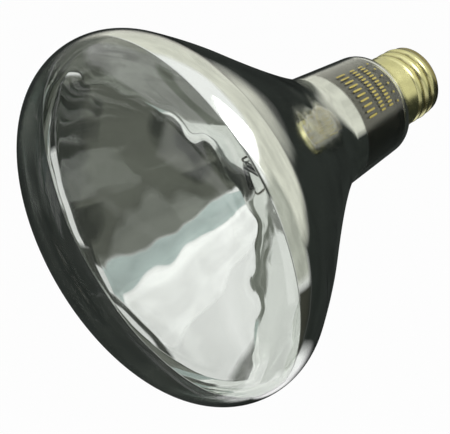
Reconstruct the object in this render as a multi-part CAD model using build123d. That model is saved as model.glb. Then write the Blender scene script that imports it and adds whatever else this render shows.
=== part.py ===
from build123d import *
import math
import os

# A clear-faced reflector flood lamp with a medium screw base, in millimetres and degrees.
# Each piece is drawn in the lamp's own frame: Z is the station, counted from the tip of the centre
# contact towards the face, X is across and Y is up. The finished pieces are then laid down, so that
# the face looks along -Y, the base points along +Y and +Z is up.

# Blown bulb
overall_length = 153.0
bulb_diameter = 127.0
face_depth = 27.0
rim_arc_radius = 16.3
rim_wall_angle = 31.2
wall_run = 13.1
throat_blend = 7.0
neck_radius = 18.3
neck_taper = 4.9
neck_shoulder_radius = 6.5
shoulder_flat = 0.6
glass_wall = 1.0

# Mirror film inside the reflector, drawn thicker than it is
film_thickness = 0.2
film_front_angle = 3.0

# Screw shell of thin brass, with its rolled thread
base_length = 24.7
shell_wall = 0.3
thread_pitch = 3.629
thread_crest_radius = 13.1
thread_depth = 0.7
thread_crest_width = 0.9
thread_flank_angle = 45.0
thread_start_angle = 37.0
thread_block = 1.5
collar_length = 5.0
lip_length = 1.6
lip_flare = 0.3
shell_end_station = 5.2
shell_end_inset = 1.5
mouth_gap = 0.3
cement_gap = 1.1

# Black glass insulator, contact plate and solder
insulator_grip = 1.0
insulator_tip_radius = 5.6
insulator_edge_bevel = 0.5
insulator_hole_clearance = 0.5
contact_radius = 4.8
contact_thickness = 0.6
contact_edge_bevel = 0.2
contact_hole_radius = 1.3
solder_height = 0.9
solder_radius = 2.9
side_solder_radius = 1.1
side_solder_rise = 0.7

# Glass stem
lead_room = 2.2
flare_height = 8.0
stem_tube_radius = 6.0
stem_wall = 1.0
stem_height = 32.0
press_height = 8.0
press_blend = 7.0
press_thickness = 5.0
press_margin = 2.6
exhaust_tube_radius = 2.2
exhaust_tube_bore = 1.2
exhaust_tip_length = 3.0

# Lead wires and filament
lead_radius = 0.4
lead_knee_rise = 5.0
lead_bend = 1.3
lead_hook = 1.4
wire_sides = 6
filament_length = 9.0
filament_leg = 1.6
coil_radius = 1.2
coil_turns = 4
coil_wire_width = 0.34
leg_radius = 0.24

# Screw shell stations and radii
root_radius = thread_crest_radius - thread_depth
root_bore = root_radius - shell_wall
collar_bore = thread_crest_radius - shell_wall
lip_start = base_length - lip_length
collar_start = lip_start - collar_length
collar_foot = collar_start - thread_depth
shell_end_radius = root_radius - shell_end_inset
taper_top = shell_end_station + shell_end_inset
insulator_top = taper_top + insulator_grip
contact_seat = solder_height + contact_thickness
flank_width = thread_depth / math.tan(math.radians(thread_flank_angle))
ridge_half_width = thread_crest_width / 2 + flank_width
half_turn_rise = thread_pitch / 2
half_turns = int((collar_foot - taper_top - ridge_half_width) / half_turn_rise)
thread_start = collar_foot - half_turns * half_turn_rise

# Neck stub, which the screw shell covers and the stem's flare closes
stub_radius = root_bore - cement_gap
flare_bottom = insulator_top + lead_room
seal_station = flare_bottom + stem_wall
flare_top = seal_station + flare_height
mouth_station = base_length + mouth_gap
cement_top = lip_start

# Rim, paraboloid and face of the bulb
rim_radius = bulb_diameter / 2
rim_station = overall_length - face_depth
rim_centre = (rim_radius - rim_arc_radius, rim_station)
rim_angle = math.radians(rim_wall_angle)
wall_end_radius = rim_centre[0] + rim_arc_radius * math.cos(rim_angle)
focal_length = wall_end_radius * math.tan(rim_angle) / 2
wall_end_station = rim_station - rim_arc_radius * math.sin(rim_angle)
vertex_station = wall_end_station - wall_end_radius**2 / (4 * focal_length)
focus_station = vertex_station + focal_length
face_radius = (face_depth**2 + rim_centre[0]**2 - rim_arc_radius**2) / (2 * (face_depth - rim_arc_radius))
face_centre = (0.0, overall_length - face_radius)
face_angle = math.atan2(rim_station - face_centre[1], rim_centre[0])

# Start of the paraboloid, and the neck whose line flares into it
wall_start_radius = wall_end_radius - wall_run
wall_start_station = vertex_station + wall_start_radius**2 / (4 * focal_length)
wall_start = (wall_start_radius, wall_start_station)
wall_start_angle = math.atan2(2 * focal_length, wall_start_radius)
neck_angle = math.radians(neck_taper)
shoulder_room = neck_radius - stub_radius - shoulder_flat
shoulder_radius = min(neck_shoulder_radius, shoulder_room)
shoulder_centre = (neck_radius - shoulder_radius / math.cos(neck_angle), mouth_station + shoulder_radius)

# Stem and lead stations
press_top = seal_station + stem_height
press_bottom = press_top - press_height
blend_bottom = press_bottom - press_blend
stem_bore = stem_tube_radius - stem_wall
lead_offset = (stem_bore + exhaust_tube_radius) / 2
press_half_width = lead_offset + lead_radius + press_margin
leg_end = filament_length / 2 + filament_leg
leg_station = focus_station - coil_radius
side_lead_radius = (stub_radius + root_bore) / 2
side_lead_low = insulator_top + lead_room / 2


def polar(centre, radius, angle):
    """The point at an angle on a circle; angle 0 looks away from the axis, a quarter turn at the face."""
    return (centre[0] + radius * math.cos(angle), centre[1] + radius * math.sin(angle))


def arc(centre, radius, start, end):
    """A circular arc between two angles, in radians."""
    middle = (start + end) / 2
    return ThreePointArc(
        polar(centre, radius, start), polar(centre, radius, middle), polar(centre, radius, end)
    )


def crossing(point, angle, other_point, other_angle):
    """Where two lines cross; a line's angle is counted from the axis outwards."""
    step = (math.sin(angle), math.cos(angle))
    other_step = (math.sin(other_angle), math.cos(other_angle))
    gap = (other_point[0] - point[0], other_point[1] - point[1])
    spread = step[0] * other_step[1] - step[1] * other_step[0]
    along = (gap[0] * other_step[1] - gap[1] * other_step[0]) / spread
    return (point[0] + along * step[0], point[1] + along * step[1])


def turned(edges):
    """The solid that a closed outline of radius and station sweeps round the lamp's axis."""
    return revolve(Plane.XZ * make_face(edges), Axis.Z)


def reflector_run(inset, rim_end):
    """Neck, flared throat, paraboloid and rim arc, moved in by an inset; the rim arc ends at an angle."""
    neck_foot = polar(shoulder_centre, shoulder_radius - inset, -neck_angle)
    wall_foot = polar(wall_start, inset, math.pi - wall_start_angle)
    throat_pull = crossing(neck_foot, neck_angle, wall_foot, wall_start_angle)
    neck_top = polar(throat_pull, throat_blend, -math.pi / 2 - neck_angle)
    wall_top = polar(rim_centre, rim_arc_radius - inset, -rim_angle)
    wall_pull = crossing(wall_foot, wall_start_angle, wall_top, rim_angle)
    return [
        Line(neck_foot, neck_top),
        Bezier(neck_top, throat_pull, wall_foot),
        Bezier(wall_foot, wall_pull, wall_top),
        arc(rim_centre, rim_arc_radius - inset, -rim_angle, rim_end),
    ]


def bulb_run(inset):
    """The bulb's outline from the neck's sealed end to the middle of the face."""
    stub_edge = stub_radius - inset
    flat_end = polar(shoulder_centre, shoulder_radius - inset, -math.pi / 2)
    return [
        Line((stub_edge, seal_station), (stub_edge, mouth_station + inset)),
        Line((stub_edge, mouth_station + inset), flat_end),
        arc(shoulder_centre, shoulder_radius - inset, -math.pi / 2, -neck_angle),
        *reflector_run(inset, face_angle),
        arc(face_centre, face_radius - inset, face_angle, math.pi / 2),
    ]


def glass_bulb():
    """The blown bulb: face, rolled rim, paraboloid wall, neck and the stub inside the screw shell."""
    seal = Line((stub_radius - glass_wall, seal_station), (stub_radius, seal_station))
    pole = Line((0, overall_length - glass_wall), (0, overall_length))
    return turned([*bulb_run(0), *bulb_run(glass_wall), seal, pole])


def reflector_coating():
    """The mirror film on the inside of the neck, the paraboloid and the back of the rim."""
    inner = glass_wall + film_thickness
    front = math.radians(film_front_angle)
    foot = Line(
        polar(shoulder_centre, shoulder_radius - inner, -neck_angle),
        polar(shoulder_centre, shoulder_radius - glass_wall, -neck_angle),
    )
    edge = Line(
        polar(rim_centre, rim_arc_radius - inner, front),
        polar(rim_centre, rim_arc_radius - glass_wall, front),
    )
    return turned([*reflector_run(glass_wall, front), *reflector_run(inner, front), foot, edge])


def wire(points):
    """A round wire along a bent route of across and station points."""
    route = FilletPolyline(*[(across, 0, station) for across, station in points], radius=lead_bend)
    section = Plane(origin=route @ 0, z_dir=route % 0) * RegularPolygon(lead_radius, wire_sides)
    return sweep(section, path=route)


def lead_head(side):
    """The route of a lead from the stem to the filament, on the side given by its sign."""
    return [
        (side * lead_offset, press_top + lead_knee_rise),
        (side * (leg_end + lead_hook), leg_station - lead_hook),
        (side * (leg_end + lead_hook), leg_station),
        (side * leg_end, leg_station),
    ]


def lead_wire_centre():
    """The lead that runs down to the centre contact."""
    foot = [
        (0, solder_height / 2),
        (0, insulator_top + lead_bend / 2),
        (lead_offset, seal_station),
    ]
    return wire([*foot, *lead_head(1)])


def lead_wire_side():
    """The lead that turns under the flare and up beside the neck stub to the shell's mouth."""
    foot = [
        (-side_lead_radius, base_length - lead_radius),
        (-side_lead_radius, side_lead_low),
        (-lead_offset, side_lead_low),
    ]
    return wire([*foot, *lead_head(-1)])


def filament():
    """A coiled filament across the focus, with a straight leg to each lead."""
    coil_path = Helix(filament_length / coil_turns, filament_length, coil_radius)
    frame = Plane(origin=coil_path @ 0, x_dir=(1, 0, 0), z_dir=coil_path % 0)
    square = Rectangle(coil_wire_width, coil_wire_width)
    coil = sweep(frame * square, path=coil_path, is_frenet=True)
    low = (Align.CENTER, Align.CENTER, Align.MAX)
    leg = Pos(0, 0, leg_radius) * Cylinder(leg_radius, filament_leg + leg_radius, align=low)
    lower_leg = Pos(coil_radius, 0, 0) * leg
    upper_leg = Pos(coil_radius, 0, filament_length) * Rot(180, 0, 0) * leg
    upright = coil + lower_leg + upper_leg
    return Pos(0, 0, focus_station) * Rot(0, 90, 0) * Pos(0, 0, -filament_length / 2) * upright


def glass_stem(leads):
    """Flare, stem tube, pinched press and exhaust tube, with the leads sealed in the press."""
    flare_outline = [
        (stem_bore, blend_bottom),
        (stem_tube_radius, blend_bottom),
        (stem_tube_radius, flare_top),
        (stub_radius - stem_wall, seal_station),
        (stub_radius, seal_station),
        (stub_radius, flare_bottom),
        (stub_radius - stem_wall, flare_bottom),
        (stem_bore, flare_top - stem_wall),
    ]
    flare = turned(Polyline(*flare_outline, close=True))
    half_press = press_thickness / 2
    pinch_outline = [
        (stem_tube_radius, blend_bottom),
        (half_press, press_bottom),
        (half_press, press_top),
        (-half_press, press_top),
        (-half_press, press_bottom),
        (-stem_tube_radius, blend_bottom),
    ]
    pinch = extrude(Plane.YZ * make_face(Polyline(*pinch_outline, close=True)), press_half_width, both=True)
    up = (Align.CENTER, Align.CENTER, Align.MIN)
    round_press = Cylinder(press_half_width, press_top - blend_bottom, align=up)
    press = pinch & (Pos(0, 0, blend_bottom) * round_press)
    exhaust_outline = [
        (0, seal_station),
        (exhaust_tube_radius, seal_station + exhaust_tip_length),
        (exhaust_tube_radius, blend_bottom),
        (exhaust_tube_bore, blend_bottom),
        (exhaust_tube_bore, seal_station + exhaust_tip_length),
        (0, seal_station + exhaust_tip_length),
    ]
    stem = flare + press + turned(Polyline(*exhaust_outline, close=True))
    for lead in leads:
        stem -= lead
    return stem


def thread_section():
    """One ridge of the thread: a narrow crest and two sloped flanks, on a block inside the blank."""
    half_crest = thread_crest_width / 2
    outline = [
        (thread_depth, -half_crest),
        (thread_depth, half_crest),
        (0, ridge_half_width),
        (-thread_block, ridge_half_width),
        (-thread_block, -ridge_half_width),
        (0, -ridge_half_width),
    ]
    return make_face(Polyline(*outline, close=True))


def thread_half_turn():
    """Half a turn of the right-hand helical ridge, which starts at station 0."""
    path = Helix(thread_pitch, half_turn_rise, root_radius)
    frame = Plane(origin=path @ 0, x_dir=(1, 0, 0), z_dir=path % 0)
    return sweep(frame * thread_section(), path=path, is_frenet=True)


def base_shell():
    """The brass screw shell: flared lip, plain collar, rolled thread and the turned-in lower end."""
    outer = [
        (shell_end_radius, shell_end_station),
        (root_radius, taper_top),
        (root_radius, collar_foot),
        (thread_crest_radius, collar_start),
        (thread_crest_radius, lip_start),
        (thread_crest_radius + lip_flare, base_length),
    ]
    inner = [(radius - shell_wall, station) for radius, station in outer]
    ends = (0, shell_end_station), (0, base_length)
    blank = turned(Polyline(ends[0], *outer, ends[1], close=True))
    bore = turned(Polyline(ends[0], *inner, ends[1], close=True))
    ridge = thread_half_turn()
    for index in range(half_turns):
        lift = Pos(0, 0, thread_start + index * half_turn_rise)
        blank += lift * Rot(0, 0, thread_start_angle + 180 * index) * ridge
    return blank - bore


def base_insulator():
    """The black glass cone between the shell and the contact plate, with a hole for the lead."""
    hole = lead_radius + insulator_hole_clearance
    outline = [
        (hole, contact_seat),
        (insulator_tip_radius - insulator_edge_bevel, contact_seat),
        (insulator_tip_radius, contact_seat + insulator_edge_bevel),
        (shell_end_radius - shell_wall, shell_end_station),
        (root_bore, taper_top),
        (root_bore, insulator_top),
        (hole, insulator_top),
    ]
    return turned(Polyline(*outline, close=True))


def centre_contact():
    """The brass contact plate on the insulator's tip, with the hole that the lead comes through."""
    outline = [
        (contact_hole_radius, solder_height),
        (contact_radius - contact_edge_bevel, solder_height),
        (contact_radius, solder_height + contact_edge_bevel),
        (contact_radius, contact_seat),
        (contact_hole_radius, contact_seat),
    ]
    return turned(Polyline(*outline, close=True))


def contact_solder(lead):
    """The domed drop of solder that holds the lead in the contact plate."""
    dome_radius = (solder_radius**2 + solder_height**2) / (2 * solder_height)
    dome_angle = math.asin(solder_radius / dome_radius)
    dome = arc((0, dome_radius), dome_radius, -math.pi / 2, dome_angle - math.pi / 2)
    plug = Polyline(
        (solder_radius, solder_height),
        (contact_hole_radius, solder_height),
        (contact_hole_radius, contact_seat),
        (0, contact_seat),
        (0, 0),
    )
    return turned([dome, plug]) - lead


def side_solder(shell, glass, lead):
    """The small bead over the shell's mouth that joins the other lead to the shell."""
    length = thread_crest_radius + side_solder_rise - side_lead_radius
    up = (Align.CENTER, Align.CENTER, Align.MIN)
    bead = Cone(side_solder_radius, side_solder_radius / 2, length, align=up)
    place = Pos(-side_lead_radius, 0, base_length - side_solder_radius / 2) * Rot(0, -90, 0)
    return place * bead - shell - glass - lead


def basing_cement(lead):
    """The ring of cement that holds the neck stub in the shell."""
    outline = [
        (stub_radius, seal_station),
        (root_bore, seal_station),
        (root_bore, collar_foot),
        (collar_bore, collar_start),
        (collar_bore, cement_top),
        (stub_radius, cement_top),
    ]
    return turned(Polyline(*outline, close=True)) - lead


bulb = glass_bulb()
centre_lead = lead_wire_centre()
side_lead = lead_wire_side()
shell = base_shell()
rim_solder = side_solder(shell, bulb, side_lead)

pieces = {
    "glass_bulb": bulb,
    "reflector_coating": reflector_coating(),
    "glass_stem": glass_stem([centre_lead, side_lead]),
    "lead_wire_centre": centre_lead,
    "lead_wire_side": side_lead,
    "filament": filament(),
    "base_shell": shell,
    "basing_cement": basing_cement(side_lead),
    "base_insulator": base_insulator(),
    "centre_contact": centre_contact(),
    "contact_solder": contact_solder(centre_lead),
    "side_solder": rim_solder,
}

os.makedirs("parts", exist_ok=True)
for name, piece in pieces.items():
    export_step(Rot(90, 0, 0) * piece, f"parts/{name}.step")
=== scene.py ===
import math
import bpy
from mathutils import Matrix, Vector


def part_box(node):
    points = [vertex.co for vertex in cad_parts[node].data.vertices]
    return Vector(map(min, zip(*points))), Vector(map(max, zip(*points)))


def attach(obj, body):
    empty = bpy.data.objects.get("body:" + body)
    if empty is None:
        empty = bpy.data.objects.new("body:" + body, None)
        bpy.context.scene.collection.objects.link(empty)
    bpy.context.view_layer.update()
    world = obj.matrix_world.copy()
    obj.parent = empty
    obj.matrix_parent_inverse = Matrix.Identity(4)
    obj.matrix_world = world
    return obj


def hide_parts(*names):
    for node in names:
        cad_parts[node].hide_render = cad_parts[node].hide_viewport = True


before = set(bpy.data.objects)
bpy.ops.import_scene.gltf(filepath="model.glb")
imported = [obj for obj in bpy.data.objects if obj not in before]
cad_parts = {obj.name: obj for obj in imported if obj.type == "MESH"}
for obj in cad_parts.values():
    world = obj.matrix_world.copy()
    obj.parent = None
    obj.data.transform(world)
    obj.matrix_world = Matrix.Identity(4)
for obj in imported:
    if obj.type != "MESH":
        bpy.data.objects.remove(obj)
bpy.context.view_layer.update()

from types import SimpleNamespace

import bpy
import numpy as np
from bpy.props import FloatProperty, FloatVectorProperty, IntProperty, PointerProperty
from mathutils import Matrix, Vector

bl_info = {
    "name": "Reflector flood lamp",
    "version": (1, 0, 0),
    "blender": (4, 5, 0),
    "location": "View3D > Sidebar > Flood lamp",
    "description": "Builds a clear-faced reflector flood lamp with a screw base, and its studio",
    "category": "Object",
}

# The lamp lies along Y. A station counts from the tip of the contact towards the face, so y is minus
# the station. Right is the right of someone who looks at the face. Sizes are in metres.
BASE_END = -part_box("base_shell")[1][1]
BASE_MOUTH = -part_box("base_shell")[0][1]
SEAL_STATION = -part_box("glass_bulb")[1][1]
OVERALL_LENGTH = -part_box("glass_bulb")[0][1]
FILAMENT_STATION = -(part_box("filament")[0][1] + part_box("filament")[1][1]) / 2
FILAMENT_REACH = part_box("filament")[1][0]

# Points along each run of the outlines and of the wires, and sides round a wire
STUB_POINTS = 4
FLAT_POINTS = 3
SHOULDER_POINTS = 12
NECK_POINTS = 8
FLARE_POINTS = 52
WALL_POINTS = 20
RIM_POINTS = 36
FACE_POINTS = 36
FILM_RIM_POINTS = 40
SHELL_POINTS = 165
COIL_POINTS_PER_TURN = 28
LEG_POINTS = 6
WIRE_SIDES = 8

# The printed marks: dots in the first row, then rows of bars, each with its distance from the dots in
# metres, its length in bar lengths and its number of bars
DOT_COUNT = 6
MARK_ROWS = ((0.0038, 1, 14), (0.0080, 1, 14), (0.0138, 2, 10))

# A mark is a low lens: the spread of its rings from top to underside and their heights in mark lifts
LENS_SPREAD = (0.0, 0.5, 0.85, 1.0, 0.85, 0.5, 0.0)
LENS_HEIGHT = (1.0, 0.95, 0.8, 0.2, -0.6, -0.8, -0.8)
LENS_SIDES = 24
DOT_POWER = 1.0
BAR_POWER = 0.5

# The screw shell: powers that shape the thread's crest and the turned-in end, and the lip's share of the
# collar
CREST_POWER = 0.5
TAPER_POWER = 1.6
LIP_SHARE = 0.25

# Half the width, in metres, of the edge between the thin film and the full one
FILM_EDGE_BLUR = 0.0004

# The film: its roughness, thin and full, what specks add to it, and the share of rings in its waves
THIN_FILM_ROUGHNESS = 0.32
FILM_ROUGHNESS = 0.015
FILM_SPECK = 0.035
RING_SHARE = 0.3

# The brass: where the painted shade in the grooves starts and ends, in thread depths from the root, and its
# roughness
GROOVE_SHADE_START = -0.2
GROOVE_SHADE_END = 0.6
BRASS_ROUGHNESS = (0.21, 0.29)

# Finishes of the plain solids: metallic, roughness, waves of grain in a metre and depth of the grain
FINISHES = {
    "gold_print": (0.7, 0.4, 2500.0, 0.00003),
    "filament_metal": (1.0, 0.45, 900.0, 0.0001),
    "lead_metal": (1.0, 0.3, 700.0, 0.0001),
    "black_glass": (0.0, 0.12, 500.0, 0.00005),
    "cement": (0.0, 0.85, 1200.0, 0.0003),
    "solder": (1.0, 0.38, 600.0, 0.0002),
    "contact_brass": (1.0, 0.3, 600.0, 0.0001),
}

# The part of a noise's range that a cloud or a grain is stretched from, and how dark each gets
CLOUD_RANGE = (0.35, 0.65)
GRAIN_RANGE = (0.3, 0.7)
GLASS_DARK = 0.985
FILM_DARK = 0.95
BRASS_DARK = 0.86
GRAIN_DARK = 0.75

# How far the grain lowers and raises the roughness of a plain solid
GRAIN_SMOOTH = 0.8
GRAIN_ROUGH = 1.2

# Decimals of a metre to which two points share a place
PLACE_DECIMALS = 8


def length(name, description, default):
    """A length property in metres."""
    return FloatProperty(
        name=name,
        description=description,
        default=default,
        min=0.0,
        precision=5,
        unit="LENGTH",
        subtype="DISTANCE",
    )


def angle(name, description, degrees):
    """An angle property, given in degrees and kept in radians."""
    return FloatProperty(
        name=name, description=description, default=math.radians(degrees), unit="ROTATION", subtype="ANGLE"
    )


def colour(name, description, default):
    """A colour property in linear light."""
    return FloatVectorProperty(
        name=name, description=description, default=default, size=3, min=0.0, max=1.0, subtype="COLOR"
    )


class LampSizes(bpy.types.PropertyGroup):
    """Sizes of the bulb, its mirror film, its screw shell and its filament."""

    overall_length: length("Overall length", "Contact tip to the middle of the face", OVERALL_LENGTH)
    bulb_diameter: length("Bulb diameter", "Across the widest ring", 0.127)
    face_depth: length("Face depth", "Widest ring to the middle of the face", 0.027)
    rim_arc_radius: length("Rim arc", "Radius of the rolled rim", 0.0163)
    rim_wall_angle: angle("Wall angle", "Slope of the reflector wall at the rim", 31.2)
    wall_run: length("Wall run", "How far the paraboloid reaches in from the rim arc", 0.0131)
    throat_blend: length("Throat blend", "How far down the neck its flare starts", 0.007)
    neck_radius: length("Neck radius", "Neck beside the shoulder", 0.0183)
    neck_taper: angle("Neck taper", "Slope of the neck", 4.9)
    shoulder_radius: length("Shoulder radius", "Round end of the neck above the screw shell", 0.0065)
    stub_radius: length("Stub radius", "Neck end inside the screw shell", 0.011)
    mouth_gap: length("Mouth gap", "Shell mouth to the neck's end", 0.0003)
    glass_wall: length("Glass wall", "Thickness of the blown wall", 0.001)
    film_gap: length("Film gap", "Keeps the film off the glass", 0.00004)
    film_thickness: length("Film thickness", "Thickness that the film is drawn with", 0.00015)
    film_front_angle: angle("Film edge", "Front edge of the film past the widest ring", 3.0)
    film_lean: angle("Film lean", "How far the film's front edge leans out of true", 17.0)
    film_lean_turn: angle("Film lean turn", "Turn at which the edge reaches furthest forward", 35.0)
    full_film_station: length("Full film", "Station in the neck where the full film starts", 0.0515)
    root_radius: length("Thread root", "Radius at the thread's roots", 0.0124)
    thread_depth: length("Thread depth", "Root to crest", 0.0007)
    thread_pitch: length("Thread pitch", "Rise of the thread in one turn", 0.003629)
    taper_height: length("Taper height", "Turned-in end below the thread", 0.0015)
    collar_length: length("Collar length", "Plain collar with its lip", 0.0066)
    lip_flare: length("Lip flare", "How far the lip opens", 0.0003)
    shell_wall: length("Shell wall", "Thickness of the brass sheet", 0.0003)
    mark_lift: length("Mark lift", "How far the printed marks stand off the glass", 0.00003)
    dot_station: length("Dot station", "Station of the row of dots", 0.0326)
    dot_radius: length("Dot radius", "Radius of a dot", 0.00045)
    bar_width: length("Bar width", "Half the width of a printed bar", 0.00038)
    bar_length: length("Bar length", "Half the length of a short bar", 0.0011)
    mark_start: angle("Mark start", "Turn of the first mark, up from the lamp's right side", 33.0)
    mark_end: angle("Mark end", "Turn of the last mark", 86.0)
    coil_length: length("Coil length", "Length of the coiled filament", 0.009)
    coil_radius: length("Coil radius", "Middle of the wire to the coil's axis", 0.0012)
    coil_wire: length("Coil wire", "Radius of the coiled wire", 0.00013)
    coil_turns: IntProperty(
        name="Coil turns", description="Turns of the filament", default=16, min=3, max=60
    )
    around: IntProperty(
        name="Steps round", description="Steps round the lamp's axis", default=288, min=48, max=480
    )


class LampColours(bpy.types.PropertyGroup):
    """Colours of the lamp's materials and its studio."""

    glass: colour("Glass", "Clear glass", (0.975, 0.985, 0.975))
    film: colour("Film", "Bright metal film", (0.86, 0.875, 0.85))
    thin_film: colour("Thin film", "Grey where the film thins out in the neck", (0.115, 0.115, 0.096))
    brass: colour("Brass", "Bright brass", (0.80, 0.77, 0.40))
    # Painted shade in the thread's grooves: a dark brown blended into the brass there
    brass_groove_shade: colour("Brass groove", "Dull brass in the grooves", (0.15, 0.11, 0.03))
    black_glass: colour("Black glass", "Insulator", (0.012, 0.012, 0.014))
    cement: colour("Cement", "Basing cement", (0.42, 0.35, 0.26))
    solder: colour("Solder", "Dull solder", (0.55, 0.55, 0.56))
    lead: colour("Lead wire", "Drawn nickel", (0.52, 0.50, 0.47))
    filament: colour("Filament", "Coiled tungsten", (0.13, 0.13, 0.14))
    mark: colour("Printed marks", "Gold print on the neck", (0.62, 0.52, 0.16))
    floor: colour("Floor", "Pale floor", (0.86, 0.86, 0.86))


def polar(centre, radius, turn):
    """The point at an angle on a circle; angle 0 looks away from the axis, a quarter turn at the face."""
    return np.array((centre[0] + radius * math.cos(turn), centre[1] + radius * math.sin(turn)))


def arc_points(centre, radius, start, end, count):
    """Points on a circle: the centre plus the radius times cosine and sine of evenly spaced angles."""
    turn = np.linspace(start, end, count)
    return np.column_stack((centre[0] + radius * np.cos(turn), centre[1] + radius * np.sin(turn)))


def line_points(start, end, count):
    """Evenly spaced points from one end of a straight run to the other."""
    return np.linspace(start, end, count)


def pulled_points(start, pull, end, count):
    """A parabola between two points: squared weights of the ends and twice the mixed weight of the pull."""
    share = np.linspace(0.0, 1.0, count)[:, None]
    return (1 - share) ** 2 * start + 2 * share * (1 - share) * pull + share**2 * end


def crossing(point, turn, other_point, other_turn):
    """Where two lines cross; a line's angle is counted from the axis outwards."""
    step = np.array((math.sin(turn), math.cos(turn)))
    other_step = np.array((math.sin(other_turn), math.cos(other_turn)))
    along = np.linalg.solve(np.column_stack((step, -other_step)), other_point - point)[0]
    return point + along * step


def lamp_shape(sizes):
    """Centres, angles and stations of the bulb's outline, worked out from the sizes.

    The reflector is a paraboloid that has the wall's angle where the rim's arc starts, so its focal length
    is half the radius there times the tangent of that angle. The face is a sphere that meets the rim's arc
    without a kink.
    """
    shape = SimpleNamespace(sizes=sizes)
    shape.rim_station = sizes.overall_length - sizes.face_depth
    shape.rim_centre = (sizes.bulb_diameter / 2 - sizes.rim_arc_radius, shape.rim_station)
    wall_end = shape.rim_centre[0] + sizes.rim_arc_radius * math.cos(sizes.rim_wall_angle)
    focal_length = wall_end * math.tan(sizes.rim_wall_angle) / 2
    wall_station = shape.rim_station - sizes.rim_arc_radius * math.sin(sizes.rim_wall_angle)
    vertex_station = wall_station - wall_end**2 / (4 * focal_length)
    inner_rim = shape.rim_centre[0]
    crown = sizes.face_depth - sizes.rim_arc_radius
    shape.face_radius = (sizes.face_depth**2 + inner_rim**2 - sizes.rim_arc_radius**2) / (2 * crown)
    shape.face_centre = (0.0, sizes.overall_length - shape.face_radius)
    shape.face_angle = math.atan2(shape.rim_station - shape.face_centre[1], inner_rim)
    start_radius = wall_end - sizes.wall_run
    shape.wall_start = (start_radius, vertex_station + start_radius**2 / (4 * focal_length))
    shape.wall_start_angle = math.atan2(2 * focal_length, start_radius)
    shape.mouth_station = BASE_MOUTH + sizes.mouth_gap
    shape.shoulder_centre = (
        sizes.neck_radius - sizes.shoulder_radius / math.cos(sizes.neck_taper),
        shape.mouth_station + sizes.shoulder_radius,
    )
    return shape


def wall_points(shape, inset):
    """Neck line, flare and parabola in turn, moved in from the outside by the inset."""
    sizes = shape.sizes
    neck_foot = polar(shape.shoulder_centre, sizes.shoulder_radius - inset, -sizes.neck_taper)
    wall_foot = polar(shape.wall_start, inset, math.pi - shape.wall_start_angle)
    throat_pull = crossing(neck_foot, sizes.neck_taper, wall_foot, shape.wall_start_angle)
    neck_top = polar(throat_pull, sizes.throat_blend, -math.pi / 2 - sizes.neck_taper)
    wall_top = polar(shape.rim_centre, sizes.rim_arc_radius - inset, -sizes.rim_wall_angle)
    wall_pull = crossing(wall_foot, shape.wall_start_angle, wall_top, sizes.rim_wall_angle)
    runs = (
        line_points(neck_foot, neck_top, NECK_POINTS)[:-1],
        pulled_points(neck_top, throat_pull, wall_foot, FLARE_POINTS)[:-1],
        pulled_points(wall_foot, wall_pull, wall_top, WALL_POINTS)[:-1],
    )
    return np.vstack(runs)


def bulb_points(shape, inset):
    """The bulb's outline: sealed end, shoulder, reflector, rim and face, up to the face's middle."""
    sizes = shape.sizes
    edge = sizes.stub_radius - inset
    corner = (edge, shape.mouth_station + inset)
    round_end = sizes.shoulder_radius - inset
    rim_arc = sizes.rim_arc_radius - inset
    face_arc = shape.face_radius - inset
    flat_end = polar(shape.shoulder_centre, round_end, -math.pi / 2)
    runs = (
        line_points((edge, SEAL_STATION), corner, STUB_POINTS)[:-1],
        line_points(corner, flat_end, FLAT_POINTS)[:-1],
        arc_points(shape.shoulder_centre, round_end, -math.pi / 2, -sizes.neck_taper, SHOULDER_POINTS)[:-1],
        wall_points(shape, inset),
        arc_points(shape.rim_centre, rim_arc, -sizes.rim_wall_angle, shape.face_angle, RIM_POINTS)[:-1],
        arc_points(shape.face_centre, face_arc, shape.face_angle, math.pi / 2, FACE_POINTS),
    )
    outline = np.vstack(runs)
    outline[-1, 0] = 0.0
    return outline


def turned_grid(outline, count):
    """A surface of revolution: radius times cosine and sine of the turn in X and Z, minus station in Y."""
    turn = np.linspace(0.0, 2 * math.pi, count, endpoint=False)
    radius = outline[:, 0][:, None]
    station = np.broadcast_to(outline[:, 1][:, None], (len(outline), count))
    return np.stack((radius * np.cos(turn), -station, radius * np.sin(turn)), axis=-1)


def film_grid(shape, inset):
    """One side of the film: the wall's line turned round the axis, then a rim arc whose end leans.

    The arc's end angle is its mean plus the lean times the cosine of the turn from the furthest place.
    """
    sizes = shape.sizes
    turn = np.linspace(0.0, 2 * math.pi, sizes.around, endpoint=False)[None, :]
    front = sizes.film_front_angle + sizes.film_lean * np.cos(turn - sizes.film_lean_turn)
    share = np.linspace(0.0, 1.0, FILM_RIM_POINTS)[:, None]
    rim_turn = -sizes.rim_wall_angle + share * (front + sizes.rim_wall_angle)
    rim_arc = sizes.rim_arc_radius - inset
    radius = shape.rim_centre[0] + rim_arc * np.cos(rim_turn)
    station = shape.rim_centre[1] + rim_arc * np.sin(rim_turn)
    rim = np.stack((radius * np.cos(turn), -station, radius * np.sin(turn)), axis=-1)
    return np.concatenate((turned_grid(wall_points(shape, inset), sizes.around), rim))


def tube_grid(path, across, up, radius, sides):
    """A round tube: each point of the path plus the radius along a turning mix of two cross directions."""
    turn = np.linspace(0.0, 2 * math.pi, sides, endpoint=False)[None, :, None]
    ring = across[:, None, :] * np.cos(turn) + up[:, None, :] * np.sin(turn)
    return path[:, None, :] + radius * ring


def grid_faces(rows, columns, loop_rows, loop_columns):
    """Quads between neighbouring rows and columns of a grid, closed round where a direction loops."""
    row = np.arange(rows if loop_rows else rows - 1)[:, None]
    column = np.arange(columns if loop_columns else columns - 1)[None, :]
    next_row = (row + 1) % rows
    next_column = (column + 1) % columns
    corners = (
        row * columns + column,
        next_row * columns + column,
        next_row * columns + next_column,
        row * columns + next_column,
    )
    shape = (row.size, column.size)
    return np.stack([np.broadcast_to(corner, shape).ravel() for corner in corners], axis=1)


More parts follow.
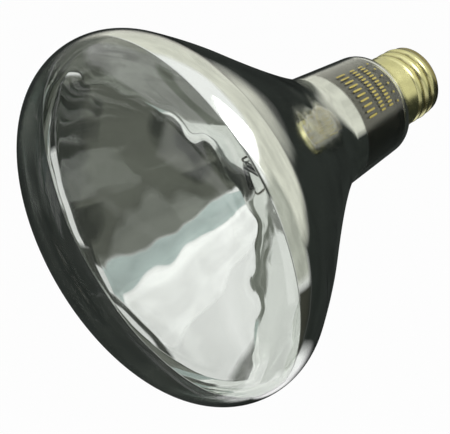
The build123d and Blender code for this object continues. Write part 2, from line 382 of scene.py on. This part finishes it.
def drop_doubles(points, faces):
    """Merges points that share a place, such as a pole's, and drops the faces that this closes up."""
    places, index = np.unique(np.round(points, PLACE_DECIMALS), axis=0, return_inverse=True)
    faces = index.ravel()[faces]
    ordered = np.sort(faces, axis=1)
    repeats = (np.diff(ordered, axis=1) == 0).sum(axis=1)
    quads = faces[repeats == 0]
    folded = faces[repeats == 1]
    follower = np.roll(folded, -1, axis=1)
    keep = folded != follower
    triangles = folded[keep].reshape(-1, 3)
    return places, quads, triangles


def add_piece(name, grids, material, node=None):
    """Makes one mesh piece from grids of points, with its faces outwards, and puts it on the lamp's body.

    Each grid comes with two flags that say whether its rows and its columns loop.
    """
    places = []
    quads = []
    triangles = []
    offset = 0
    for grid, loop_rows, loop_columns in grids:
        faces = grid_faces(grid.shape[0], grid.shape[1], loop_rows, loop_columns)
        points, four, three = drop_doubles(grid.reshape(-1, 3), faces)
        halves = np.vstack((four[:, (0, 1, 2)], four[:, (0, 2, 3)], three))
        corners = points[halves] - points.mean(axis=0)
        volume = np.einsum("ij,ij->i", corners[:, 0], np.cross(corners[:, 1], corners[:, 2])).sum()
        if volume < 0:
            four = four[:, ::-1]
            three = three[:, ::-1]
        places.append(points)
        quads.append(four + offset)
        triangles.append(three + offset)
        offset += len(points)
    mesh = bpy.data.meshes.new(name)
    polygons = [*np.vstack(quads).tolist(), *np.vstack(triangles).tolist()]
    mesh.from_pydata(np.vstack(places).tolist(), [], polygons)
    mesh.polygons.foreach_set("use_smooth", np.ones(len(mesh.polygons), dtype=bool))
    mesh.update()
    mesh.materials.append(material)
    piece = bpy.data.objects.new(name, mesh)
    bpy.context.scene.collection.objects.link(piece)
    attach(piece, "root")
    if node:
        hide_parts(node)


def dress(node, material):
    """Gives a solid that is kept from the frame its material."""
    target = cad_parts[node]
    target.data.materials.clear()
    target.data.materials.append(material)


def new_material(name):
    """A material with one shader, and the tree that it is wired in."""
    material = bpy.data.materials.new(name)
    material.use_nodes = True
    tree = material.node_tree
    shader = tree.nodes["Principled BSDF"]
    return material, tree, shader


def add_node(tree, kind, values=None, **settings):
    """Adds a node, with its settings and the plain values of its sockets."""
    node = tree.nodes.new(kind)
    for key, value in settings.items():
        setattr(node, key, value)
    for key, value in (values or {}).items():
        node.inputs[key].default_value = value
    return node


def joined(tree, operation, first, second):
    """Two values put through a step of arithmetic, such as their sum or the smaller of them."""
    node = add_node(tree, "ShaderNodeMath", operation=operation)
    tree.links.new(first, node.inputs[0])
    tree.links.new(second, node.inputs[1])
    return node.outputs["Value"]


def times(tree, value, factor):
    """A value times a plain number."""
    node = add_node(tree, "ShaderNodeMath", operation="MULTIPLY")
    node.inputs[1].default_value = factor
    tree.links.new(value, node.inputs[0])
    return node.outputs["Value"]


def object_place(tree):
    """A place on the piece, in the piece's own coordinates."""
    return add_node(tree, "ShaderNodeTexCoord").outputs["Object"]


def stretched_place(tree, factors):
    """A place on the piece with each of its coordinates times a factor of its own."""
    node = add_node(tree, "ShaderNodeVectorMath", operation="MULTIPLY")
    node.inputs[1].default_value = factors
    tree.links.new(object_place(tree), node.inputs[0])
    return node.outputs["Vector"]


def noise_at(tree, place, scale, detail):
    """Noise at a place, whose coordinates the scale multiplies."""
    node = add_node(tree, "ShaderNodeTexNoise", {"Scale": scale, "Detail": detail, "Roughness": 0.5})
    tree.links.new(place, node.inputs["Vector"])
    return node.outputs["Fac"]


def place_noise(tree, scale, detail=3.0):
    """Noise on the piece's own coordinates; the scale counts waves in a metre."""
    return noise_at(tree, object_place(tree), scale, detail)


def ring_noise(tree, across, along):
    """Noise in rings round the lamp; the numbers count its waves in a metre across and along the axis."""
    return noise_at(tree, stretched_place(tree, (across, along, across)), scale=1.0, detail=1.0)


def axis_distance(tree):
    """The distance from the lamp's axis: the length of a place with its station left out."""
    distance = add_node(tree, "ShaderNodeVectorMath", operation="LENGTH")
    tree.links.new(stretched_place(tree, (1.0, 0.0, 1.0)), distance.inputs[0])
    return distance.outputs["Value"]


def place_station(tree):
    """The station of a place on the lamp: its Y turned round."""
    parts = add_node(tree, "ShaderNodeSeparateXYZ")
    tree.links.new(object_place(tree), parts.inputs["Vector"])
    return times(tree, parts.outputs["Y"], -1.0)


def remap(tree, value, low, high, new_low, new_high):
    """Stretches a range of a value to a new range, and holds it at the ends."""
    node = add_node(tree, "ShaderNodeMapRange", clamp=True)
    for key, number in (("From Min", low), ("From Max", high), ("To Min", new_low), ("To Max", new_high)):
        node.inputs[key].default_value = number
    tree.links.new(value, node.inputs["Value"])
    return node.outputs["Result"]


def mix_colour(tree, factor, first, second):
    """Blends two colours, each a plain colour or another node's output, by a factor."""
    node = add_node(tree, "ShaderNodeMix", data_type="RGBA")
    tree.links.new(factor, node.inputs["Factor"])
    for socket, source in ((node.inputs["A"], first), (node.inputs["B"], second)):
        if isinstance(source, bpy.types.NodeSocket):
            tree.links.new(source, socket)
        else:
            socket.default_value = (*source, 1.0)
    return node.outputs["Result"]


def blend_shaders(tree, factor, first, second, output):
    """Blends two shaders by a factor, and makes the blend the surface of an output."""
    mix = add_node(tree, "ShaderNodeMixShader")
    tree.links.new(factor, mix.inputs["Fac"])
    tree.links.new(first, mix.inputs[1])
    tree.links.new(second, mix.inputs[2])
    tree.links.new(mix.outputs["Shader"], output.inputs["Surface"])


def bump(tree, shader, height, strength, distance):
    """Tilts the shader's normal by a height."""
    node = add_node(tree, "ShaderNodeBump", {"Strength": strength, "Distance": distance})
    tree.links.new(height, node.inputs["Height"])
    tree.links.new(node.outputs["Normal"], shader.inputs["Normal"])


def scaled(tint, factor):
    """A plain colour times a factor."""
    return tuple(channel * factor for channel in tint)


def glass_material(colours):
    """Clear blown glass with faint slow waves in its surface and a trace of haze."""
    material, tree, shader = new_material("clear_glass")
    shader.inputs["Transmission Weight"].default_value = 1.0
    shader.inputs["IOR"].default_value = 1.5
    shader.inputs["Roughness"].default_value = 0.0
    haze = place_noise(tree, scale=60.0)
    tint = mix_colour(tree, haze, scaled(colours.glass, GLASS_DARK), tuple(colours.glass))
    tree.links.new(tint, shader.inputs["Base Color"])
    waves = place_noise(tree, scale=45.0, detail=1.0)
    bump(tree, shader, waves, strength=0.25, distance=0.0006)
    return material


def film_material(colours, sizes):
    """Bright metal film on blown glass, whose slow waves bend what it shows; thin and grey in the neck."""
    material, tree, shader = new_material("mirror_film")
    shader.inputs["Metallic"].default_value = 1.0
    cloud = remap(tree, place_noise(tree, scale=26.0, detail=4.0), *CLOUD_RANGE, 0.0, 1.0)
    bright = mix_colour(tree, cloud, scaled(colours.film, FILM_DARK), tuple(colours.film))
    edge = sizes.full_film_station
    full = remap(tree, place_station(tree), edge - FILM_EDGE_BLUR, edge + FILM_EDGE_BLUR, 0.0, 1.0)
    tint = mix_colour(tree, full, tuple(colours.thin_film), bright)
    tree.links.new(tint, shader.inputs["Base Color"])
    speck = remap(tree, place_noise(tree, scale=140.0, detail=4.0), *GRAIN_RANGE, 0.0, FILM_SPECK)
    dull = remap(tree, full, 0.0, 1.0, THIN_FILM_ROUGHNESS, FILM_ROUGHNESS)
    tree.links.new(joined(tree, "ADD", speck, dull), shader.inputs["Roughness"])
    rings = times(tree, ring_noise(tree, across=14.0, along=70.0), RING_SHARE)
    waves = joined(tree, "ADD", rings, place_noise(tree, scale=24.0, detail=2.0))
    bump(tree, shader, waves, strength=0.75, distance=0.002)
    return material


def brass_material(colours, sizes):
    """Rolled brass: bright on the crests, with painted shade in dark brown in the grooves, faint clouds and
    a fine grain.
    """
    material, tree, shader = new_material("brass")
    shader.inputs["Metallic"].default_value = 1.0
    groove_shade_start = sizes.root_radius + sizes.thread_depth * GROOVE_SHADE_START
    groove_shade_end = sizes.root_radius + sizes.thread_depth * GROOVE_SHADE_END
    # Painted shade: dark brown at the thread's roots, fading to plain brass towards the crests
    lift = remap(tree, axis_distance(tree), groove_shade_start, groove_shade_end, 0.0, 1.0)
    cloud = remap(tree, place_noise(tree, scale=220.0, detail=4.0), *CLOUD_RANGE, 0.0, 1.0)
    worn = mix_colour(tree, cloud, scaled(colours.brass, BRASS_DARK), tuple(colours.brass))
    tint = mix_colour(tree, lift, tuple(colours.brass_groove_shade), worn)
    tree.links.new(tint, shader.inputs["Base Color"])
    rough = remap(tree, place_noise(tree, scale=500.0, detail=4.0), *GRAIN_RANGE, *BRASS_ROUGHNESS)
    tree.links.new(rough, shader.inputs["Roughness"])
    grain = place_noise(tree, scale=900.0, detail=2.0)
    bump(tree, shader, grain, strength=0.04, distance=0.0001)
    return material


def plain_material(name, tint):
    """A dull or bright solid with a fine grain in its colour, its roughness and its surface."""
    metallic, roughness, grain, depth = FINISHES[name]
    material, tree, shader = new_material(name)
    shader.inputs["Metallic"].default_value = metallic
    speck = remap(tree, place_noise(tree, scale=grain, detail=4.0), *GRAIN_RANGE, 0.0, 1.0)
    specked = mix_colour(tree, speck, scaled(tint, GRAIN_DARK), tuple(tint))
    tree.links.new(specked, shader.inputs["Base Color"])
    fine = place_noise(tree, scale=grain * 2, detail=2.0)
    rough = remap(tree, fine, *GRAIN_RANGE, roughness * GRAIN_SMOOTH, roughness * GRAIN_ROUGH)
    tree.links.new(rough, shader.inputs["Roughness"])
    bump(tree, shader, place_noise(tree, scale=grain), strength=0.3, distance=depth)
    return material


class FLOODLAMP_OT_glass_bulb(bpy.types.Operator):
    """Builds the blown bulb, one wall thick from the sealed end of the neck to the middle of the face"""

    bl_idname = "flood_lamp.glass_bulb"
    bl_label = "Glass bulb"

    def execute(self, context):
        sizes = context.scene.flood_lamp_sizes
        shape = lamp_shape(sizes)
        outer = bulb_points(shape, 0.0)
        inner = bulb_points(shape, sizes.glass_wall)
        grid = turned_grid(np.vstack((outer[::-1], inner)), sizes.around)
        glass = glass_material(context.scene.flood_lamp_colours)
        add_piece("blown_bulb", [(grid, False, True)], glass, "glass_bulb")
        dress("glass_stem", glass)
        return {"FINISHED"}


class FLOODLAMP_OT_mirror_film(bpy.types.Operator):
    """Builds the metal film inside the neck, the reflector and the back of the rim"""

    bl_idname = "flood_lamp.mirror_film"
    bl_label = "Mirror film"

    def execute(self, context):
        sizes = context.scene.flood_lamp_sizes
        shape = lamp_shape(sizes)
        back = sizes.glass_wall + sizes.film_gap
        outer = film_grid(shape, back)
        inner = film_grid(shape, back + sizes.film_thickness)
        film = film_material(context.scene.flood_lamp_colours, sizes)
        grid = np.concatenate((outer, inner[::-1]))
        add_piece("metal_film", [(grid, True, True)], film, "reflector_coating")
        return {"FINISHED"}


def mark_grid(shape, station, turn, half_length, half_width, power):
    """A low closed lens on the neck: a superellipse round a station and a turn, from top to underside.

    The rim runs along the signed powers of cosine and sine. The radius is that of the neck's line plus
    the lens's height there.
    """
    sizes = shape.sizes
    spread = np.array(LENS_SPREAD)[:, None]
    height = sizes.mark_lift * np.array(LENS_HEIGHT)[:, None]
    rim = np.linspace(0.0, 2 * math.pi, LENS_SIDES, endpoint=False)[None, :]
    along = np.sign(np.cos(rim)) * np.abs(np.cos(rim)) ** power
    across = np.sign(np.sin(rim)) * np.abs(np.sin(rim)) ** power
    place = station + half_length * spread * along
    neck = sizes.neck_radius + (place - shape.shoulder_centre[1]) * math.tan(sizes.neck_taper)
    angle_round = turn + half_width * spread * across / neck
    radius = neck + height
    return np.stack((radius * np.cos(angle_round), -place, radius * np.sin(angle_round)), axis=-1)


class FLOODLAMP_OT_neck_marks(bpy.types.Operator):
    """Builds the plain gold marks on the neck: a row of dots and rows of short bars"""

    bl_idname = "flood_lamp.neck_marks"
    bl_label = "Neck marks"

    def execute(self, context):
        sizes = context.scene.flood_lamp_sizes
        shape = lamp_shape(sizes)
        gold = plain_material("gold_print", context.scene.flood_lamp_colours.mark)
        dot = (sizes.dot_radius, sizes.dot_radius, DOT_POWER)
        grids = []
        for turn in np.linspace(sizes.mark_start, sizes.mark_end, DOT_COUNT):
            grids.append(mark_grid(shape, sizes.dot_station, turn, *dot))
        for distance, stretch, count in MARK_ROWS:
            bar = (stretch * sizes.bar_length, sizes.bar_width, BAR_POWER)
            for turn in np.linspace(sizes.mark_start, sizes.mark_end, count):
                grids.append(mark_grid(shape, sizes.dot_station + distance, turn, *bar))
        add_piece("neck_marks", [(grid, False, True) for grid in grids], gold)
        return {"FINISHED"}


def filament_grids(sizes):
    """The filament's wire: a coil across the lamp and a straight leg from each of its ends.

    The coil's path is the filament's middle plus the coil's radius times cosine and sine of a steady turn
    in Y and Z, while X runs evenly from end to end. A round tube follows each path.
    """
    turn = np.linspace(0.0, 2 * math.pi * sizes.coil_turns, COIL_POINTS_PER_TURN * sizes.coil_turns)
    outward = np.column_stack((np.zeros_like(turn), np.cos(turn), np.sin(turn)))
    middle = np.array((0.0, -FILAMENT_STATION, 0.0))
    path = middle + sizes.coil_radius * outward
    path[:, 0] = np.linspace(-sizes.coil_length / 2, sizes.coil_length / 2, len(turn))
    ahead = np.gradient(path, axis=0)
    ahead /= np.linalg.norm(ahead, axis=1)[:, None]
    grids = [tube_grid(path, outward, np.cross(ahead, outward), sizes.coil_wire, WIRE_SIDES)]
    across = np.tile((0.0, 1.0, 0.0), (LEG_POINTS, 1))
    up = np.tile((0.0, 0.0, 1.0), (LEG_POINTS, 1))
    for foot, end in ((path[0], -FILAMENT_REACH), (path[-1], FILAMENT_REACH)):
        leg = np.tile(foot, (LEG_POINTS, 1))
        leg[:, 0] = np.linspace(foot[0], end, LEG_POINTS)
        grids.append(tube_grid(leg, across, up, sizes.coil_wire, WIRE_SIDES))
    return grids


class FLOODLAMP_OT_filament_mount(bpy.types.Operator):
    """Builds the coiled filament and dresses the two lead wires"""

    bl_idname = "flood_lamp.filament_mount"
    bl_label = "Filament mount"

    def execute(self, context):
        colours = context.scene.flood_lamp_colours
        tungsten = plain_material("filament_metal", colours.filament)
        nickel = plain_material("lead_metal", colours.lead)
        grids = [(grid, False, True) for grid in filament_grids(context.scene.flood_lamp_sizes)]
        add_piece("coiled_filament", grids, tungsten, "filament")
        dress("lead_wire_centre", nickel)
        dress("lead_wire_side", nickel)
        return {"FINISHED"}


def eased(value):
    """A value held from nothing to one, with eased ends: three times its square less twice its cube."""
    held = np.clip(value, 0.0, 1.0)
    return held**2 * (3 - 2 * held)


def shell_grid(sizes):
    """The rolled shell, outside and then inside: a radius over station and turn, turned round the axis.

    The ridge is half of one minus a cosine, to a power. The cosine's angle is a full turn for each pitch
    past the taper, less the turn round the axis. The ridge grows from the root radius in the first pitch
    and ends at the collar, which stands as high. The turned-in end takes off its height times a power of
    its share, and the lip adds its flare times the square of its share.
    """
    taper_top = BASE_END + sizes.taper_height
    collar_start = BASE_MOUTH - sizes.collar_length
    lip_start = BASE_MOUTH - sizes.collar_length * LIP_SHARE
    station = np.linspace(BASE_END, BASE_MOUTH, SHELL_POINTS)[:, None]
    turn = np.linspace(0.0, 2 * math.pi, sizes.around, endpoint=False)[None, :]
    ridge = 0.5 - 0.5 * np.cos(2 * math.pi * (station - taper_top) / sizes.thread_pitch - turn)
    growth = eased((station - taper_top) / sizes.thread_pitch)
    collar = eased((station - collar_start) / sizes.thread_depth + 1.0)
    rise = np.maximum(ridge**CREST_POWER * growth, collar)
    taper = np.clip((taper_top - station) / sizes.taper_height, 0.0, 1.0)
    lip = np.clip((station - lip_start) / (BASE_MOUTH - lip_start), 0.0, 1.0)
    radius = sizes.root_radius + sizes.thread_depth * rise
    radius = radius - sizes.taper_height * taper**TAPER_POWER + sizes.lip_flare * lip**2
    both = np.vstack((radius, radius[::-1] - sizes.shell_wall))
    along = np.broadcast_to(np.vstack((station, station[::-1])), both.shape)
    return np.stack((both * np.cos(turn), -along, both * np.sin(turn)), axis=-1)


class FLOODLAMP_OT_screw_shell(bpy.types.Operator):
    """Builds the rolled brass shell, whose radius rises and falls along a right-hand helix"""

    bl_idname = "flood_lamp.screw_shell"
    bl_label = "Screw shell"

    def execute(self, context):
        sizes = context.scene.flood_lamp_sizes
        brass = brass_material(context.scene.flood_lamp_colours, sizes)
        add_piece("screw_shell", [(shell_grid(sizes), True, True)], brass, "base_shell")
        return {"FINISHED"}


class FLOODLAMP_OT_base_end(bpy.types.Operator):
    """Dresses the insulator, the contact plate, the solder and the cement"""

    bl_idname = "flood_lamp.base_end"
    bl_label = "Base end"

    def execute(self, context):
        colours = context.scene.flood_lamp_colours
        solder = plain_material("solder", colours.solder)
        dress("base_insulator", plain_material("black_glass", colours.black_glass))
        dress("basing_cement", plain_material("cement", colours.cement))
        dress("contact_solder", solder)
        dress("side_solder", solder)
        dress("centre_contact", plain_material("contact_brass", colours.brass))
        return {"FINISHED"}


# The photo's camera, which looks at the aim from an azimuth, an elevation and a distance
CAMERA_AZIMUTH = math.radians(44.832)
CAMERA_ELEVATION = math.radians(34.854)
CAMERA_DISTANCE = 0.55
CAMERA_AIM = Vector((0.0, -0.095, 0.0))
CAMERA_LENS = 135.81
CAMERA_SHIFT = (-0.022, -0.079)

# The floor: how far it lies under the bulb and reaches out, and how white it is where it is seen
FLOOR_DROP = 1.0
FLOOR_REACH = 8.0
FLOOR_WHITE = 0.96

# The lights: the world's soft light, and the key light's side, power and place
WHITE = (1.0, 1.0, 1.0, 1.0)
SOFT_LIGHT = 0.6
KEY_SIZE = 0.8
KEY_POWER = 6.0
KEY_PLACE = (0.56, 0.3, 1.1)

# The panels' distance from the aim, how much nearer each is than the one before, the points along each
# side, and how dark and bright their clouds are
PANEL_DISTANCE = 0.98
PANEL_STEP = 0.01
PANEL_POINTS = 33
PANEL_DARK = 0.85
PANEL_BRIGHT = 1.1

# The panels that the mirror shows, from the furthest to the nearest: name, azimuths and rises in degrees,
# colour, and the width of the soft edge in degrees
PANELS = (
    ("back_wall", (96.0, 264.0), (-10.0, 52.0), (0.76, 0.756, 0.667), 8.0),
    ("side_wall", (84.0, 126.0), (-22.0, 40.0), (0.5, 0.51, 0.45), 8.0),
    ("room_far_left", (-114.0, -58.0), (-8.0, 20.0), (0.22, 0.225, 0.21), 6.0),
    ("room_left", (-64.0, 4.0), (-24.0, 22.0), (0.15, 0.153, 0.143), 6.0),
    ("room_low_left", (-64.0, 4.0), (-76.0, -16.0), (0.1, 0.102, 0.095), 6.0),
    ("room_front", (2.0, 52.0), (-60.0, 39.0), (0.22, 0.23, 0.205), 4.0),
    ("front_light", (-22.0, 20.0), (0.0, 15.0), (0.95, 0.96, 0.94), 2.0),
    ("room_right", (44.0, 64.0), (-80.0, 40.0), (0.11, 0.116, 0.097), 3.0),
    ("room_corner", (51.0, 62.0), (7.0, 40.0), (0.022, 0.026, 0.02), 3.0),
    ("room_far_right", (56.0, 72.0), (-80.0, 30.0), (0.03, 0.034, 0.028), 3.0),
    ("room_low_right", (68.0, 90.0), (-80.0, -26.0), (0.03, 0.032, 0.03), 4.0),
    ("room_high_right", (58.0, 92.0), (26.0, 66.0), (0.05, 0.053, 0.046), 4.0),
    ("ceiling", (-92.0, 88.0), (59.0, 74.0), (0.04, 0.044, 0.038), 4.0),
    ("sky", (17.0, 44.0), (36.0, 60.0), (0.54, 0.63, 0.62), 1.5),
    ("soft_box", (-44.0, 18.5), (40.0, 62.0), (1.2, 1.2, 1.2), 4.0),
    ("table_right", (84.0, 128.0), (-74.0, -18.0), (0.05, 0.05, 0.04), 6.0),
    ("table_left", (206.0, 304.0), (-82.0, -36.0), (0.026, 0.03, 0.027), 6.0),
    ("table", (116.0, 308.0), (-60.0, 3.0), (0.026, 0.03, 0.027), 9.0),
)


def stage_mesh(name, grid, material):
    """A sheet of the studio, which isn't part of the lamp."""
    mesh = bpy.data.meshes.new(name)
    faces = grid_faces(grid.shape[0], grid.shape[1], False, False)
    mesh.from_pydata(grid.reshape(-1, 3).tolist(), [], faces.tolist())
    mesh.materials.append(material)
    sheet = bpy.data.objects.new(name, mesh)
    bpy.context.scene.collection.objects.link(sheet)
    return sheet


def seen_factor(tree):
    """One for what the camera sees, straight, in a gloss or through glass, and zero for soft light."""
    path = add_node(tree, "ShaderNodeLightPath").outputs
    camera_or_gloss = joined(tree, "MAXIMUM", path["Is Camera Ray"], path["Is Glossy Ray"])
    return joined(tree, "MAXIMUM", camera_or_gloss, path["Is Transmission Ray"])


def floor_material(tint):
    """A pale matt floor that is nearly white where it is seen and keeps a soft shadow."""
    material, tree, shader = new_material("studio_floor")
    shader.inputs["Base Color"].default_value = (*tint, 1.0)
    shader.inputs["Roughness"].default_value = 0.9
    white = add_node(tree, "ShaderNodeEmission", {"Strength": 1.0}).outputs["Emission"]
    factor = times(tree, seen_factor(tree), FLOOR_WHITE)
    blend_shaders(tree, factor, shader.outputs["BSDF"], white, tree.nodes["Material Output"])
    return material


def edge_share(tree, value, fade):
    """Zero at both ends of a value from nothing to one, and one past a fade from either end."""
    from_start = remap(tree, value, 0.0, fade, 0.0, 1.0)
    from_end = remap(tree, value, 1.0 - fade, 1.0, 1.0, 0.0)
    return joined(tree, "MINIMUM", from_start, from_end)


def panel_material(name, tint, fades):
    """A panel of plain brightness with faint clouds, which fades out towards its edges."""
    material, tree, shader = new_material(name)
    tree.nodes.remove(shader)
    parts = add_node(tree, "ShaderNodeSeparateXYZ")
    tree.links.new(add_node(tree, "ShaderNodeTexCoord").outputs["UV"], parts.inputs["Vector"])
    across = edge_share(tree, parts.outputs["X"], fades[0])
    up = edge_share(tree, parts.outputs["Y"], fades[1])
    cloud = remap(tree, place_noise(tree, scale=5.0, detail=2.0), *CLOUD_RANGE, 0.0, 1.0)
    clouded = mix_colour(tree, cloud, scaled(tint, PANEL_DARK), scaled(tint, PANEL_BRIGHT))
    glow = add_node(tree, "ShaderNodeEmission", {"Strength": 1.0})
    tree.links.new(clouded, glow.inputs["Color"])
    clear = add_node(tree, "ShaderNodeBsdfTransparent").outputs["BSDF"]
    inside = joined(tree, "MINIMUM", across, up)
    blend_shaders(tree, inside, clear, glow.outputs["Emission"], tree.nodes["Material Output"])
    return material


def add_panel(name, distance, turns, rises, tint, fade):
    """A curved panel that only gloss and glass show: part of a sphere between two azimuths and two rises.

    A place is the aim plus the distance times three numbers: sine and minus cosine of the azimuth, both
    times the cosine of the rise, and the sine of the rise. Angles are in degrees; azimuth 0 is in front of
    the face and 90 to its right.
    """
    share = np.linspace(0.0, 1.0, PANEL_POINTS)
    across, up = np.meshgrid(share, share, indexing="ij")
    turn = np.radians(turns[0] + across * (turns[1] - turns[0]))
    rise = np.radians(rises[0] + up * (rises[1] - rises[0]))
    ahead = np.stack((np.sin(turn) * np.cos(rise), -np.cos(turn) * np.cos(rise), np.sin(rise)), axis=-1)
    fades = (fade / (turns[1] - turns[0]), fade / (rises[1] - rises[0]))
    panel = stage_mesh(name, np.array(CAMERA_AIM) + distance * ahead, panel_material(name, tint, fades))
    corner = np.empty(len(panel.data.loops), dtype=np.int32)
    panel.data.loops.foreach_get("vertex_index", corner)
    places = np.column_stack((across.ravel(), up.ravel()))[corner]
    panel.data.uv_layers.new(name="panel").data.foreach_set("uv", places.ravel())
    panel.visible_camera = False
    panel.visible_diffuse = False
    panel.visible_shadow = False


def light_world(scene):
    """A world that lights the lamp softly and is plain white where it is seen."""
    world = bpy.data.worlds.new("studio")
    scene.world = world
    world.use_nodes = True
    tree = world.node_tree
    soft = tree.nodes["Background"]
    soft.inputs["Color"].default_value = WHITE
    soft.inputs["Strength"].default_value = SOFT_LIGHT
    white = add_node(tree, "ShaderNodeBackground", {"Color": WHITE, "Strength": 1.0})
    shaders = (soft.outputs["Background"], white.outputs["Background"])
    blend_shaders(tree, seen_factor(tree), *shaders, tree.nodes["World Output"])


def add_key_light(scene):
    """One soft light above the lamp, behind it and to its right, which looks at the aim."""
    key = bpy.data.lights.new("key", "AREA")
    key.size = KEY_SIZE
    key.energy = KEY_POWER
    source = bpy.data.objects.new("key", key)
    source.location = KEY_PLACE
    source.rotation_mode = "QUATERNION"
    source.rotation_quaternion = (CAMERA_AIM - source.location).to_track_quat("-Z", "Y")
    scene.collection.objects.link(source)


def add_camera(scene):
    """The photo's camera: it stands back from the aim along its azimuth and elevation and is held level."""
    back = Vector((
        math.sin(CAMERA_AZIMUTH) * math.cos(CAMERA_ELEVATION),
        -math.cos(CAMERA_AZIMUTH) * math.cos(CAMERA_ELEVATION),
        math.sin(CAMERA_ELEVATION),
    ))
    right = Vector((math.cos(CAMERA_AZIMUTH), math.sin(CAMERA_AZIMUTH), 0.0))
    view = bpy.data.cameras.new("photo_view")
    view.lens = CAMERA_LENS
    view.shift_x, view.shift_y = CAMERA_SHIFT
    camera = bpy.data.objects.new("photo_view", view)
    turn = Matrix((right, back.cross(right), back)).transposed().to_4x4()
    camera.matrix_world = Matrix.Translation(CAMERA_AIM + back * CAMERA_DISTANCE) @ turn
    scene.collection.objects.link(camera)
    scene.camera = camera


class FLOODLAMP_OT_stage(bpy.types.Operator):
    """Builds the pale floor, the panels that the mirror shows, the lights and the camera"""

    bl_idname = "flood_lamp.stage"
    bl_label = "Studio"

    def execute(self, context):
        scene = context.scene
        floor_level = -scene.flood_lamp_sizes.bulb_diameter / 2 - FLOOR_DROP
        reach = np.linspace(-FLOOR_REACH, FLOOR_REACH, 2)
        across, along = np.meshgrid(reach, reach, indexing="ij")
        floor = np.stack((across, along, np.full_like(across, floor_level)), axis=-1)
        stage_mesh("floor", floor, floor_material(scene.flood_lamp_colours.floor))
        for index, (name, *panel) in enumerate(PANELS):
            add_panel(name, PANEL_DISTANCE - index * PANEL_STEP, *panel)
        light_world(scene)
        add_key_light(scene)
        add_camera(scene)
        scene.view_settings.view_transform = "Standard"
        scene.cycles.max_bounces = 32
        scene.cycles.glossy_bounces = 16
        scene.cycles.transmission_bounces = 24
        return {"FINISHED"}


class FLOODLAMP_PT_panel(bpy.types.Panel):
    """Lists the steps that build the lamp"""

    bl_idname = "FLOODLAMP_PT_panel"
    bl_label = "Flood lamp"
    bl_space_type = "VIEW_3D"
    bl_region_type = "UI"
    bl_category = "Flood lamp"

    def draw(self, context):
        for operator in OPERATORS:
            self.layout.operator(operator.bl_idname)


OPERATORS = (
    FLOODLAMP_OT_glass_bulb,
    FLOODLAMP_OT_mirror_film,
    FLOODLAMP_OT_neck_marks,
    FLOODLAMP_OT_filament_mount,
    FLOODLAMP_OT_screw_shell,
    FLOODLAMP_OT_base_end,
    FLOODLAMP_OT_stage,
)
CLASSES = (LampSizes, LampColours, *OPERATORS, FLOODLAMP_PT_panel)


def register():
    """Registers the classes and puts the sizes and colours on the scene."""
    for item in CLASSES:
        bpy.utils.register_class(item)
    bpy.types.Scene.flood_lamp_sizes = PointerProperty(type=LampSizes)
    bpy.types.Scene.flood_lamp_colours = PointerProperty(type=LampColours)


def unregister():
    """Takes the sizes, the colours and the classes away again."""
    del bpy.types.Scene.flood_lamp_colours
    del bpy.types.Scene.flood_lamp_sizes
    for item in reversed(CLASSES):
        bpy.utils.unregister_class(item)


def main():
    """Registers the classes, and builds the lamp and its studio."""
    register()
    for operator in OPERATORS:
        step = operator.bl_idname.split(".")[1]
        getattr(bpy.ops.flood_lamp, step)()


if __name__ == "__main__":
    main()
